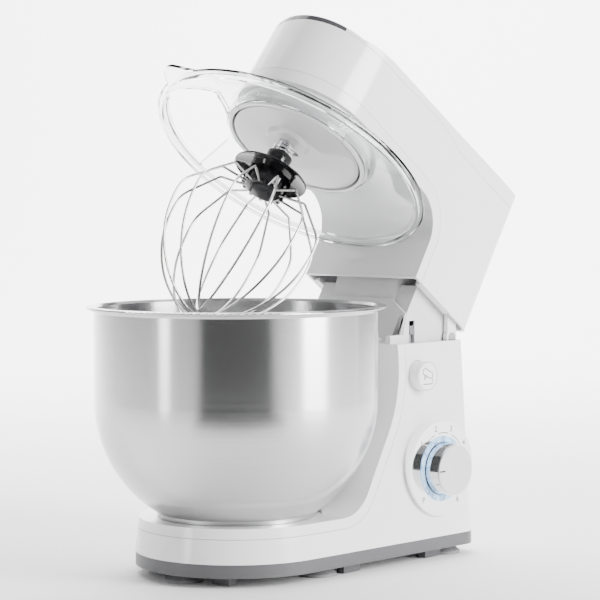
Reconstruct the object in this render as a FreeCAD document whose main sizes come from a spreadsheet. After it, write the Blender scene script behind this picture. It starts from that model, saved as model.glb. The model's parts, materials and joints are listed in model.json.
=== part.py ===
"""Tilt-head stand mixer with planetary whisk, steel bowl and clear splash lid.

Frame: millimetres, +Z up, nose towards -Y, speed knob on +X. The parts are drawn with the bowl axis
on x = y = 0 and the head closed. Each part's Placement then moves it by frame_y, so that the origin
is the bottom centre of the whole machine, and turns the head parts about the hinge to the raised
rest position.
"""
import FreeCAD, Part
import math
import os
import re

import Sketcher

V = FreeCAD.Vector
doc = FreeCAD.newDocument("StandMixer")
sheet = doc.addObject("Spreadsheet::Sheet", "Dims")

SIZES = {
    # whole machine
    "frame_y": 76.2, "tilt": 36.3, "hinge_y": 186, "hinge_z": 170, "wall": 2.5,
    # base and column
    "base_half": 76.6, "top_half": 60, "rear_y": 196, "base_corner": 18, "column_corner": 8,
    "tray_low": 7.7, "tray_high": 17.6, "column_top": 168, "seam": 7.5, "reveal": 0.35, "front_reach": 95,
    "deck_bend_y": 38, "deck_bend_z": 78.7, "deck_bend": 35.5, "rise_y": 5, "rise_z": 163,
    "rise_bend": 110, "slope_run": 0.562, "slope_rise": 0.827, "deck_hole": 58.3,
    "foot_radius": 15, "foot_front_y": -55, "foot_mid_x": 54.7, "foot_mid_y": 30,
    "foot_rear_x": 56, "foot_rear_y": 172, "foot_stem": 3.5, "screw": 3,
    "tab_long": 18, "tab_wide": 7, "tab_x": 64, "tab_rear_y": 148, "tab_mid_y": 54.5,
    "tab_front_x": 34, "tab_front_y": -47,
    # bowl and its seat
    "bowl_wall": 1, "bowl_out": 107, "rim_out": 112.5, "rim_z": 201.2, "belly_z": 131,
    "bowl_bend": 100, "foot_ring": 60.2, "foot_ring_z": 43.5, "bowl_floor": 46.3,
    "bowl_in": 59.88, "tab_inner": 52, "seat_boss": 49.5, "lug_out": 55,
    # neck
    "neck_half": 50, "neck_narrow": 32.5, "neck_front": 128, "neck_top": 222,
    "bush_out": 6.5, "pin": 4, "running": 0.05, "lip": 6.5,
    # head
    "head_half": 59.5, "head_low": 181, "head_high": 312, "nose_low": -1.7, "nose_high": 2.7,
    "head_rear_low": 194.8, "head_rear_high": 183.8, "head_corner": 6.5, "belly": 240, "belly_y": 84,
    "step_y": 114.5, "step_z": 211, "step_low_y": 117.6, "seam_z": 250.5, "cap_front": 293.2,
    "cap_mid": 296.5, "cap_dip": 291.2, "cap_rear": 295, "crown_front": 299.6, "crown_rear": 306.6,
    "cap_bevel": 1.5, "drum_out": 56.5, "drum_in": 54, "drum_low": 218, "trim_thick": 1.2,
    "trim_high": 4.6, "arm_in": 50.9, "arm_thick": 4, "arm_end": 6.4, "arm_y": 170, "arm_z": 226,
    # drive
    "gear_module": 1, "ring_teeth": 38, "pinion_teeth": 13, "orbit": 12.5, "gear_low": 227.5,
    "gear_face": 7, "input_shaft": 4.4, "pulley": 36, "motor_pulley": 6.5, "belt_low": 283.2,
    "belt_high": 289.2, "belt_thick": 1.8, "belt_gap": 0.25, "motor_y": 80, "can_out": 27,
    "can_low": 249, "can_high": 277, "rotor": 19.5, "motor_shaft": 2.5, "plate_low": 277,
    "plate_high": 279.5, "disc": 52.1, "disc_low": 218, "disc_high": 223.5, "tool_shaft": 4,
    # whisk
    "hub": 10, "hub_top": 203, "flange": 29.8, "flange_z": 187.3, "lower_hub": 16.7,
    "lower_hub_z": 167.6, "wire": 0.95, "wire_out": 36, "wire_belly": 58, "wire_belly_z": 133,
    "wire_tip": 50.6, "wire_step": 2.3, "wire_top": 169.8,
    # lid
    "lid_out": 111.6, "lid_in": 57.2, "lid_low": 202.2, "lid_rim": 208.6, "lid_collar": 229,
    # controls
    "knob_y": 147.3, "knob_z": 70.8, "dial": 37, "dial_face": 77.5, "glow_out": 25.4,
    "glow_in": 21, "knob": 20.2, "knob_face": 91.3, "button_y": 136.9, "button_z": 143.1,
    "button": 11.6, "button_face": 72, "lever_y": 143, "lever_pivot_x": 46, "lever_pivot_z": 108,
}
for row, (alias, value) in enumerate(SIZES.items(), 1):
    sheet.set(f"A{row}", alias)
    sheet.set(f"B{row}", str(value))
    sheet.setAlias(f"B{row}", alias)
doc.recompute()


def cells(text):
    """The expression with each alias written as a cell of the sheet."""
    return re.sub(r"\b([a-z][a-z_0-9]*)\b(?!\()", r"Dims.\1", str(text))


def number(text):
    """What an expression of aliases comes to."""
    return float(sheet.evalExpression(cells(text)))


# ------------------------------------------------------------------ building blocks
TURNS = {
    "Z": FreeCAD.Rotation(),
    "X": FreeCAD.Rotation(V(0, 1, 0), 90),
    "Y": FreeCAD.Rotation(V(1, 0, 0), -90),
}
PLANES = {
    "XY": FreeCAD.Rotation(),
    "XZ": FreeCAD.Rotation(V(1, 0, 0), 90),
    "YZ": FreeCAD.Rotation(V(1, 1, 1), 120),
}


def primitive(kind, name, at, axis="Z", **sizes):
    """A Part primitive whose sizes and place are bound to the sheet."""
    obj = doc.addObject("Part::" + kind, name)
    for prop, text in sizes.items():
        obj.setExpression(prop, cells(text))
    obj.Placement = FreeCAD.Placement(V(*[number(c) for c in at]), TURNS[axis])
    for letter, text in zip("xyz", at):
        obj.setExpression("Placement.Base." + letter, cells(text))
    return obj


def box(name, at, length, width, height):
    return primitive("Box", name, at, Length=length, Width=width, Height=height)


def rod(name, at, radius, height, axis="Z"):
    return primitive("Cylinder", name, at, axis, Radius=radius, Height=height)


def cone(name, at, low, high, height, axis="Z"):
    return primitive("Cone", name, at, axis, Radius1=low, Radius2=high, Height=height)


def fuse(name, *parts):
    obj = doc.addObject("Part::MultiFuse", name)
    obj.Shapes = list(parts)
    return obj


def common(name, *parts):
    obj = doc.addObject("Part::MultiCommon", name)
    obj.Shapes = list(parts)
    return obj


def cut(name, base, *tools):
    obj = doc.addObject("Part::Cut", name)
    obj.Base = base
    obj.Tool = tools[0] if len(tools) == 1 else fuse(name + "_tools", *tools)
    return obj


def tube(name, at, outer, inner, height, axis="Z"):
    hole = list(at)
    index = "XYZ".index(axis)
    hole[index] = f"{at[index]} - 1"
    shaft = rod(name + "_outer", at, outer, height, axis)
    return cut(name, shaft, rod(name + "_bore", hole, inner, f"{height} + 2", axis))


def draw(sketch, steps):
    """A closed outline. A step is (x, y) or (x, y, radius); a radius bends the edge that leaves it,
    anticlockwise when positive."""
    points = [V(number(s[0]), number(s[1]), 0) for s in steps]
    ends = []
    for i, step in enumerate(steps):
        start, end = points[i], points[(i + 1) % len(points)]
        if len(step) == 2:
            sketch.addGeometry(Part.LineSegment(start, end), False)
            ends.append((1, 2))
            continue
        radius = number(step[2])
        chord = end - start
        left = V(-chord.y, chord.x, 0).normalize() * math.copysign(1, radius)
        rise = math.sqrt(max(radius ** 2 - (chord.Length / 2) ** 2, 0))
        centre = (start + end) * 0.5 + left * rise
        if radius < 0:
            start, end = end, start
        angles = [math.atan2(p.y - centre.y, p.x - centre.x) for p in (start, end)]
        circle = Part.Circle(centre, V(0, 0, 1), abs(radius))
        sketch.addGeometry(Part.ArcOfCircle(circle, *angles), False)
        ends.append((1, 2) if radius > 0 else (2, 1))
    for i, step in enumerate(steps):
        after = (i + 1) % len(steps)
        sketch.addConstraint(Sketcher.Constraint("Coincident", i, ends[i][1], after, ends[after][0]))
        for kind, text in (("DistanceX", step[0]), ("DistanceY", step[1])):
            rule = Sketcher.Constraint(kind, -1, 1, i, ends[i][0], number(text))
            sketch.setExpression(f"Constraints[{sketch.addConstraint(rule)}]", cells(text))
        if len(step) == 3:
            index = sketch.addConstraint(Sketcher.Constraint("Radius", i, abs(number(step[2]))))
            sketch.setExpression(f"Constraints[{index}]", cells(f"abs({step[2]})"))


def outline(name, steps, plane="XY", at=0):
    """A free sketch on one of the main planes, moved along that plane's normal."""
    sketch = doc.addObject("Sketcher::SketchObject", name)
    turn = PLANES[plane]
    sketch.Placement = FreeCAD.Placement(turn.multVec(V(0, 0, number(at))), turn)
    draw(sketch, steps)
    return sketch


def slab(name, steps, plane, low, high):
    """An outline pushed from low to high along its plane's normal."""
    obj = doc.addObject("Part::Extrusion", name)
    obj.Base = outline(name + "_outline", steps, plane, low)
    obj.DirMode = "Normal"
    obj.Solid = True
    obj.setExpression("LengthFwd", cells(f"({high}) - ({low})"))
    return obj


def loft(name, low, high):
    obj = doc.addObject("Part::Loft", name)
    obj.Sections = [low, high]
    obj.Solid = True
    obj.Ruled = True
    return obj


def body_sketch(body, name, role, steps):
    plane = next(p for p in body.Origin.OriginFeatures if p.Role == role)
    sketch = body.newObject("Sketcher::SketchObject", name + "_outline")
    sketch.AttachmentSupport = [(plane, "")]
    sketch.MapMode = "FlatFace"
    draw(sketch, steps)
    return sketch


def lathe(name, steps):
    """A PartDesign body turned about Z from an outline of (radius, height) steps."""
    body = doc.addObject("PartDesign::Body", name)
    sketch = body_sketch(body, name, "XZ_Plane", steps)
    turned = body.newObject("PartDesign::Revolution", name + "_turned")
    turned.Profile = sketch
    turned.ReferenceAxis = (sketch, ["V_Axis"])
    turned.Angle = 360
    return body


def pad(name, steps, low, height):
    """A PartDesign body padded upwards from the height low."""
    body = doc.addObject("PartDesign::Body", name)
    sketch = body_sketch(body, name, "XY_Plane", steps)
    sketch.setExpression(".AttachmentOffset.Base.z", cells(low))
    block = body.newObject("PartDesign::Pad", name + "_pad")
    block.Profile = sketch
    block.setExpression("Length", cells(height))
    return body


def ring_of(name, part, count, first=0, radius=0, centre=("0", "0")):
    """The part repeated about a vertical axis."""
    copies = []
    middle = V(number(centre[0]), number(centre[1]), 0)
    for i in range(count):
        copy = doc.addObject("Part::Compound", f"{name}_{i}")
        copy.Links = [part]
        turn = FreeCAD.Rotation(V(0, 0, 1), first + 360 * i / count)
        copy.Placement = FreeCAD.Placement(V(0, 0, 0), turn, middle)
        copies.append(copy)
    return fuse(name, *copies)


def stadium(half, nose, rear, corner):
    """Plan outline with a half-round nose and two rounded rear corners."""
    return [
        (f"-({half})", nose, half), ("0", f"({nose}) - ({half})", half), (half, nose),
        (half, f"({rear}) - ({corner})", corner), (f"({half}) - ({corner})", rear),
        (f"({corner}) - ({half})", rear, corner), (f"-({half})", f"({rear}) - ({corner})"),
    ]


PARTS = {}


def keep(node, obj, group="base"):
    """Names a finished sub-part and the group that places it."""
    PARTS[node] = (obj, group)
    return obj


# ------------------------------------------------------------------ base and column
def column_region(name, gap, low="10"):
    """Everything behind and below the deck and column front, moved in by gap."""
    bend, rise = f"(deck_bend + {gap})", f"(rise_bend + {gap})"
    steps = [
        ("-front_reach", low), ("rear_y + 40", low), ("rear_y + 40", "column_top + 5"),
        (f"rise_y + {rise}", "column_top + 5"), (f"rise_y + {rise}", "rise_z", f"-{rise}"),
        (f"rise_y + {rise} * slope_rise", f"rise_z - {rise} * slope_run"),
        (f"deck_bend_y + {bend} * slope_rise", f"deck_bend_z - {bend} * slope_run", f"-{bend}"),
        ("deck_bend_y", f"deck_bend_z - {bend}"), ("-front_reach", f"deck_bend_z - {bend}"),
    ]
    return slab(name, steps, "YZ", "-front_reach", "front_reach")


def casing_loft(name, inset):
    low = stadium(f"base_half - {inset}", "0", f"rear_y - {inset}", f"base_corner - {inset}")
    high = stadium(f"top_half - {inset}", "0", f"rear_y - {inset}", f"column_corner - {inset}")
    return loft(name, outline(name + "_low", low, "XY", "tray_high"),
                outline(name + "_high", high, "XY", "column_top"))


def bowl_clearance(name, gap, low):
    """Room round the bowl, scooped from the deck where it rises to the column."""
    return lathe(name, [
        ("0", low), (f"foot_ring + {gap}", low), (f"foot_ring + {gap}", "46.3", f"bowl_bend + {gap}"),
        (f"bowl_out + {gap}", "belly_z"), (f"bowl_out + {gap}", "rim_z + 20"), ("0", "rim_z + 20")])


def make_base():
    outer, inner = casing_loft("casing_outer", "0"), casing_loft("casing_inner", "wall")
    front, seam = column_region("front_region", "0"), column_region("seam_region", "seam")
    below_seam = column_region("below_seam", "seam + reveal")
    skin = column_region("skin_region", "wall")
    bowl_room, skin_room = bowl_clearance("bowl_room", "4", "43.2"), bowl_clearance(
        "bowl_skin_room", "4 + wall", "43.2 - wall")
    casing = common("casing_block", outer, below_seam)
    knob_hole = rod("knob_hole", ("60", "knob_y", "knob_z"), "17", "30", "X")
    button_hole = rod("button_hole", ("50", "button_y", "button_z"), "button + 0.3", "30", "X")
    inlet_hole = rod("inlet_hole", ("34", "rear_y - 10", "32"), "6.2", "20", "Y")
    keep("base_casing", cut("casing_shell", casing, inner, knob_hole, button_hole, inlet_hole))

    hollow = cut("deck_hollow", common("deck_inside", inner, skin), skin_room)
    hole = rod("deck_seat_hole", ("0", "0", "20"), "deck_hole", "40")
    walls = cut("seam_walls", seam, inner)
    deck = cut("deck_block", common("deck_solid", outer, front), bowl_room)
    keep("front_deck", cut("deck_strip", deck, hollow, walls, hole))

    tray = pad("tray_block", stadium("base_half", "0", "rear_y", "base_corner"), "tray_low",
               "tray_high - tray_low")
    room = pad("tray_room", stadium("base_half - wall", "0", "rear_y - wall", "base_corner - wall"),
               "tray_low + wall", "tray_high")
    tabs = []
    for side in (-1, 1):
        for y in ("tab_mid_y", "tab_rear_y"):
            at = (f"{side} * tab_x - tab_wide / 2", f"{y} - tab_long / 2", "0.6")
            tabs.append(box(f"tab_{len(tabs)}", at, "tab_wide", "tab_long", "tray_low"))
        at = (f"{side} * tab_front_x - tab_long / 2", "tab_front_y - tab_wide / 2", "0.6")
        tabs.append(box(f"tab_{len(tabs)}", at, "tab_long", "tab_wide", "tray_low"))
    holes = [rod(f"stem_hole_{i}", (x, y, "0"), "foot_stem", "20") for i, (x, y) in enumerate(FEET)]
    screws = [rod(f"screw_hole_{i}", (x, y, "0"), "screw / 2", "20")
              for i, (x, y) in enumerate(TRAY_SCREWS)]
    rails = [box(f"rail_{i}", (x, "146", "tray_low + wall"), "4", "4", "110")
             for i, x in enumerate(("-36", "12"))]
    solid = fuse("tray_with_tabs", cut("tray_shell", tray, room), *tabs, *rails)
    keep("bottom_tray", cut("tray_drilled", solid, *holes, *screws))

    cup = lathe("cup", [
        ("0", "3.4"), ("9", "2.6"), ("foot_radius - 1", "0"), ("foot_radius", "0"),
        ("foot_radius - 0.6", "2.2"), ("10.5", "5"), ("8", "tray_low"), ("foot_stem", "tray_low"),
        ("foot_stem", "tray_low + wall"), ("5", "tray_low + wall"), ("4", "13.5"), ("0", "13.5")])
    cups = []
    for i, (x, y) in enumerate(FEET):
        copy = doc.addObject("Part::Compound", f"cup_{i}")
        copy.Links = [cup]
        copy.Placement.Base = V(number(x), number(y), 0)
        cups.append(copy)
    keep("suction_feet", fuse("cups", *cups))

    screw = []
    for i, (x, y) in enumerate(TRAY_SCREWS):
        head = rod(f"tray_screw_head_{i}", (x, y, "tray_low - 1.6"), "screw", "1.6")
        shank = rod(f"tray_screw_shank_{i}", (x, y, "tray_low"), "screw / 2", "13")
        screw.append(fuse(f"tray_screw_{i}", head, shank))
    keep("tray_screws", fuse("tray_screw_set", *screw))

    gland = tube("gland_collar", ("34", "rear_y - 5", "32"), "6.2", "3.6", "8", "Y")
    flange = tube("gland_flange", ("34", "rear_y", "32"), "9", "3.6", "2.5", "Y")
    keep("cord_gland", fuse("gland", gland, flange))


FEET = [("0", "foot_front_y"), ("-foot_mid_x", "foot_mid_y"), ("foot_mid_x", "foot_mid_y"),
        ("-foot_rear_x", "foot_rear_y"), ("foot_rear_x", "foot_rear_y")]
TRAY_SCREWS = [("-34", "-22"), ("34", "-22"), ("-66", "100"), ("66", "100"),
               ("-34", "182"), ("34", "182")]


# ------------------------------------------------------------------ bowl
def wedge(name, inner, outer, low, high, degrees):
    """A block cut from a ring, centred on +Y before it is repeated."""
    ring = tube(name + "_ring", ("0", "0", low), outer, inner, f"({high}) - ({low})")
    reach = f"({outer}) * 1.5"
    half = math.radians(degrees / 2)
    steps = [("0", "0"), (f"{reach} * {math.sin(half):.6f}", f"{reach} * {math.cos(half):.6f}"),
             (f"-{reach} * {math.sin(half):.6f}", f"{reach} * {math.cos(half):.6f}")]
    return common(name, ring, slab(name + "_sector", steps, "XY", f"({low}) - 1", f"({high}) + 1"))


def make_bowl():
    keep("mixing_bowl", lathe("bowl", [
        ("0", "bowl_floor"), ("foot_ring", "bowl_floor", "bowl_bend"), ("bowl_out", "belly_z"),
        ("bowl_out", "rim_z - 4.6"), ("bowl_out + 1.6", "rim_z - 2.6"),
        ("rim_out - 1.3", "rim_z - 2.6", "1.3"), ("rim_out", "rim_z - 1.3", "1.3"),
        ("rim_out - 1.3", "rim_z"), ("bowl_out", "rim_z"),
        ("bowl_out - bowl_wall", "rim_z - 2"), ("bowl_out - bowl_wall", "belly_z",
                                                "-(bowl_bend - bowl_wall)"),
        ("bowl_in", "bowl_floor + bowl_wall"), ("0", "bowl_floor + bowl_wall")]), "bowl")
    ring = tube("foot_ring", ("0", "0", "foot_ring_z"), "foot_ring", "57.6",
                "bowl_floor - foot_ring_z")
    web = wedge("bowl_web", "55.8", "57.9", "41.5", "bowl_floor", 16)
    tongue = wedge("bowl_tongue", "tab_inner", "57.9", "41.5", "42.7", 16)
    tab = fuse("bowl_tab", web, tongue)
    keep("bowl_foot", fuse("bowl_foot_set", ring, ring_of("bowl_tabs", tab, 3)), "bowl")

    dish = lathe("seat_dish", [
        ("0", "38.6"), ("deck_hole", "38.6"), ("deck_hole", "40.6"), ("seat_boss", "40.6"),
        ("seat_boss", "45"), ("44", "45"), ("44", "42.6"), ("0", "42.6")])
    lug = wedge("seat_lug", "seat_boss - 1", "lug_out", "43.1", "45", 22)
    keep("bowl_seat", fuse("seat", dish, ring_of("seat_lugs", lug, 3)))


# ------------------------------------------------------------------ neck, hinge and latch
def both_sides(name, maker):
    """The same piece on -X and +X."""
    return fuse(name, *[maker(side) for side in (-1, 1)])


def make_neck():
    plate_steps = [
        ("-(top_half - wall)", "118.2"), ("top_half - wall", "118.2"),
        ("top_half - wall", "rear_y - column_corner", "column_corner - wall"),
        ("top_half - column_corner", "rear_y - wall"),
        ("column_corner - top_half", "rear_y - wall", "column_corner - wall"),
        ("-(top_half - wall)", "rear_y - column_corner")]
    plate = slab("neck_plate", plate_steps, "XY", "column_top - wall", "column_top")
    wide = slab("neck_wide", [
        ("neck_front + 1.5", "column_top - wall"), ("176", "column_top - wall"), ("176", "158"),
        ("193.1", "158"), ("193.1", "171"), ("190", "176.8"), ("187", "181"), ("185.6", "198"),
        ("182.4", "212"), ("150", "212"), ("neck_front + 9.5", "192")],
        "YZ", "-neck_half", "neck_half")
    wide_room = slab("neck_wide_room", [
        ("neck_front + 4", "150"), ("184", "150"), ("184", "180.5"), ("183", "197"),
        ("180", "209.5"), ("151", "209.5"), ("neck_front + 12", "191")],
        "YZ", "-(neck_half - wall)", "neck_half - wall")
    narrow = slab("neck_narrow", [
        ("neck_front + 9.6", "190"), ("176", "200"), ("172", "neck_top"),
        ("neck_front + 20", "neck_top")], "YZ", "-neck_narrow", "neck_narrow")
    narrow_room = slab("neck_narrow_room", [
        ("neck_front + 12.5", "188"), ("173", "190"), ("169.5", "neck_top - wall"),
        ("neck_front + 21.5", "neck_top - wall")], "YZ", "-(neck_narrow - wall)", "neck_narrow - wall")
    lips = both_sides("neck_lips", lambda s: box(
        f"lip_{'left' if s < 0 else 'right'}",
        ("43.6" if s > 0 else "-52", "115.6", "column_top"), "8.4", "18.4", "lip"))
    sill = box("neck_sill", ("-43.6", "115.6", "column_top"), "87.2", "3.4", "4")
    slots = both_sides("arm_slots", lambda s: box(
        f"arm_slot_{'left' if s < 0 else 'right'}",
        ("arm_in - 0.9" if s > 0 else "-(arm_in + 7.1)", "177.5", "150"), "8", "20", "30"))
    pin_hole = rod("neck_pin_hole", ("-56", "hinge_y", "hinge_z"), "bush_out", "112", "X")
    hook_slot = box("hook_slot", ("neck_half - 6", "lever_y - 3.2", "160"), "9", "6.4", "25")
    slot = slab("face_slot", [
        ("39.8", "169"), ("46.4", "169"), ("49.2", "185"), ("48.6", "188.4"), ("45.4", "189.4"),
        ("43", "186.4")],
        "XZ", "-160", "-100")
    solid = fuse("neck_solid", plate, wide, narrow, lips, sill)
    keep("neck", cut("neck_shell", solid, wide_room, narrow_room, slots, pin_hole, hook_slot, slot))

    face = slab("face_blank", [
        ("neck_front", "column_top"), ("neck_front + 1.5", "column_top"),
        ("neck_front + 9.5", "192"), ("neck_front + 13.1", "202"), ("neck_front + 11.6", "202"),
        ("neck_front + 8", "192")], "YZ", "-(neck_half - 0.5)", "neck_half - 0.5")
    corners = both_sides("face_corners", lambda s: slab(
        f"face_corner_{'left' if s < 0 else 'right'}",
        [(f"{s} * 60", "186"), (f"{s} * 60", "206"), (f"{s} * 31", "206"), (f"{s} * 31", "202"),
         (f"{s} * 49.5", "191")], "XZ", "-160", "-100"))
    keep("neck_face", cut("face_plate", face, corners, slot, lips))

    keep("hinge_bushes", both_sides("bushes", lambda s: tube(
        f"bush_{'left' if s < 0 else 'right'}",
        ("neck_half - 8" if s > 0 else "-(neck_half - 0.5)", "hinge_y", "hinge_z"), "bush_out",
        "pin + running", "7.5", "X")))

    lever = slab("lever_blank", [
        ("lever_pivot_x - 1.4", "lever_pivot_z - 4.6"),
        ("lever_pivot_x + 1.4", "lever_pivot_z - 4.6"),
        ("lever_pivot_x + 1.4", "174.5"), ("51.2", "174.5"), ("50.2", "181"),
        ("lever_pivot_x - 1.4", "181")], "XZ", "-(lever_y + 2.5)", "-(lever_y - 2.5)")
    eye = tube("lever_eye", ("lever_pivot_x", "lever_y - 2.5", "lever_pivot_z"), "5",
               "1.5 + running", "5", "Y")
    bore = rod("lever_bore", ("lever_pivot_x", "lever_y - 5", "lever_pivot_z"), "1.5 + running",
               "10", "Y")
    paddle = box("lever_paddle", ("lever_pivot_x - 1.4", "button_y - 4", "button_z - 5"), "2.8",
                 "lever_y - button_y + 2", "10")
    keep("latch_lever", cut("lever", fuse("lever_solid", lever, eye, paddle), bore))
    keep("latch_pin", rod("lever_pin", ("lever_pivot_x", "lever_y - 8", "lever_pivot_z"), "1.5",
                          "16", "Y"))
    bracket = box("latch_bracket_block", ("lever_pivot_x - 7", "lever_y - 8", "lever_pivot_z - 14"),
                  "26.5", "16", "8")
    ears = [box(f"latch_ear_{i}", ("lever_pivot_x - 5", f"lever_y + {y}", "lever_pivot_z - 6.2"),
                "10", "3", "11") for i, y in enumerate((-8, 5))]
    ear_bore = rod("latch_ear_bore", ("lever_pivot_x", "lever_y - 10", "lever_pivot_z"), "1.5",
                   "20", "Y")
    seat = tube("spring_seat", ("lever_pivot_x + 4.2", "button_y", "button_z"), "7", "3", "2", "X")
    leg = box("spring_seat_leg", ("lever_pivot_x + 4.2", "button_y - 0.9", "lever_pivot_z - 6.5"),
              "2", "3.2", "button_z - lever_pivot_z + 2.6")
    trim = common("latch_bracket_inside",
                  fuse("latch_bracket_raw", bracket, *ears, seat, leg),
                  doc.getObject("casing_inner"))
    keep("latch_bracket", cut("latch_bracket_drilled", trim, ear_bore))


# ------------------------------------------------------------------ controls
def make_controls():
    plate = rod("dial_blank", ("60", "knob_y", "knob_z"), "dial", "dial_face - 60", "X")
    dish = rod("dial_bore", ("50", "knob_y", "knob_z"), "glow_out", "40", "X")
    keep("dial_plate", cut("dial_ring", plate, doc.getObject("casing_outer"), dish))
    keep("light_ring", cut("glow_trimmed", tube("glow", ("64", "knob_y", "knob_z"), "glow_out",
                                                "glow_in", "dial_face - 63.5", "X"),
                           doc.getObject("casing_outer")))
    skirt = tube("knob_skirt", ("dial_face + 1", "knob_y", "knob_z"), "knob", "knob - 2.5",
                 "knob_face - dial_face - 2", "X")
    web = rod("knob_web", ("knob_face - 5", "knob_y", "knob_z"), "knob - 1", "4", "X")
    hub = rod("knob_hub", ("dial_face + 2", "knob_y", "knob_z"), "6", "knob_face - dial_face - 4", "X")
    bore = rod("knob_bore", ("60", "knob_y", "knob_z"), "3", "knob_face - 66", "X")
    keep("speed_knob", cut("knob_body", fuse("knob_solid", skirt, web, hub), bore), "knob")
    keep("knob_cap", rod("cap_disc", ("knob_face - 1", "knob_y", "knob_z"), "knob - 0.8", "1",
                         "X"), "knob")
    keep("knob_shaft", rod("shaft_rod", ("50", "knob_y", "knob_z"), "3", "knob_face - 56", "X"),
         "knob")
    case = box("switch_block", ("42", "knob_y - 14", "knob_z - 14"), "20", "28", "28")
    neck = rod("switch_neck", ("62", "knob_y", "knob_z"), "7", "9", "X")
    well = rod("switch_bore", ("49", "knob_y", "knob_z"), "3 + running", "30", "X")
    keep("speed_switch", cut("switch", fuse("switch_solid", case, neck), well))
    frame = box("switch_frame", ("40", "knob_y - 30", "knob_z - 18"), "2", "60", "36")
    posts = [rod(f"switch_post_{i}", ("40", f"knob_y + {dy}", f"knob_z + {dz}"), "3", "28", "X")
             for i, (dy, dz) in enumerate(((-25, -14), (-25, 14), (25, -14), (25, 14)))]
    keep("switch_bracket", common("switch_bracket_inside",
                                  fuse("switch_bracket_raw", frame, *posts),
                                  doc.getObject("casing_inner")))

    board = box("board", ("-40", "150", "34"), "60", "1.6", "90")
    keep("control_board", board)
    chips = [box(f"chip_{i}", (x, "151.6", z), w, d, tall) for i, (x, z, w, d, tall) in enumerate((
        ("-34", "44", "16", "12", "22"), ("-8", "48", "18", "14", "18"), ("-30", "84", "24", "9", "16"),
        ("4", "90", "10", "16", "24")))]
    keep("board_components", fuse("chips", *chips))

    wall_x = "62.9"
    shell = rod("button_blank", (f"{wall_x} - 6", "button_y", "button_z"), "button",
                f"button_face - {wall_x} + 6", "X")
    hollow = rod("button_room", (f"{wall_x} - 8", "button_y", "button_z"), "button - 2",
                 f"button_face - {wall_x} + 6", "X")
    stem = rod("button_stem", ("lever_pivot_x + 1.7", "button_y", "button_z"), "2.5",
               "button_face - lever_pivot_x - 3", "X")
    rim = tube("button_rim", (f"{wall_x} - 6", "button_y", "button_z"), "button + 1.6",
               "button - 1", "1.6", "X")
    keep("release_button", fuse("button", cut("button_shell", shell, hollow), stem, rim), "button")
    spring("button_spring", "5", "0.5", "2.6", ("lever_pivot_x + 6.4", "button_y", "button_z"),
           f"{wall_x} - lever_pivot_x + 0.2", "X", "base")


def spring(node, radius, wire, pitch, at, height, axis, group):
    """Open helical spring: a round wire swept along a helix."""
    radius, wire, pitch = float(radius), float(wire), float(pitch)
    rise = number(height) - 2 * wire
    count = int(12 * rise / pitch) + 1
    points = []
    for i in range(count + 1):
        turned = 2 * math.pi * rise / pitch * i / count
        points.append(V(radius * math.cos(turned), radius * math.sin(turned),
                        wire + rise * i / count))
    curve = Part.BSplineCurve()
    curve.interpolate(points)
    along = curve.tangent(curve.FirstParameter)[0]
    section = Part.Wire([Part.Circle(points[0], along, wire).toShape()])
    coil = doc.addObject("Part::Feature", node + "_coil")
    coil.Shape = Part.Wire([curve.toShape()]).makePipeShell([section], True, True)
    coil.Placement = FreeCAD.Placement(V(*[number(c) for c in at]), TURNS[axis])
    keep(node, coil, group)


# ------------------------------------------------------------------ head shell
def head_loft(name, inset):
    low = stadium(f"head_half - {inset}", "nose_low", f"head_rear_low - {inset}",
                  f"head_corner - {inset}")
    high = stadium(f"head_half - {inset}", "nose_high", f"head_rear_high - {inset}",
                   f"head_corner - {inset}")
    return loft(name, outline(name + "_low", low, "XY", "head_low"),
                outline(name + "_high", high, "XY", "head_high"))


def above_belly(name, gap):
    """Region above the underside, whose rear drops down the step wall."""
    return slab(name, [
        ("-front_reach", f"belly + {gap}"), ("belly_y", f"belly + {gap}", f"-(31.2 + {gap})"),
        (f"step_y + {gap}", "step_z"), (f"step_low_y + {gap}", "head_low - 5"),
        ("250", "head_low - 5"), ("250", "330"), ("-front_reach", "330")],
        "YZ", "-front_reach", "front_reach")


def above_seam(name, gap="0"):
    """Region above the joint between the lower and the upper cover."""
    return slab(name, [
        ("-front_reach", f"seam_z + {gap}"), ("belly_y", f"seam_z + {gap}", f"-(39.5 + {gap})"),
        (f"step_y + 8 + {gap}", "step_z"), (f"step_low_y + 8 + {gap}", "head_low - 5"),
        ("250", "head_low - 5"), ("250", "330"), ("-front_reach", "330")],
        "YZ", "-front_reach", "front_reach")


def above_cap_seam(name, lift="0"):
    return slab(name, [
        ("-front_reach", f"cap_front + 12.2 + {lift}"), ("-24", f"cap_front + 1.8 + {lift}", "226"),
        ("36", f"cap_front + 2 + {lift}"), ("76", f"cap_mid + {lift}"),
        ("104", f"cap_dip + {lift}"), ("250", f"cap_rear + {lift}"), ("250", "330"),
        ("-front_reach", "330")], "YZ", "-front_reach", "front_reach")


def below_crown(name, gap):
    return slab(name, [
        ("-front_reach", "170"), ("250", "170"), ("250", f"crown_rear + 2.7 - {gap}"),
        ("-30", f"crown_front - {gap}"),
        ("-front_reach", f"crown_front + 13.5 - {gap}")], "YZ", "-front_reach", "front_reach")


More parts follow.
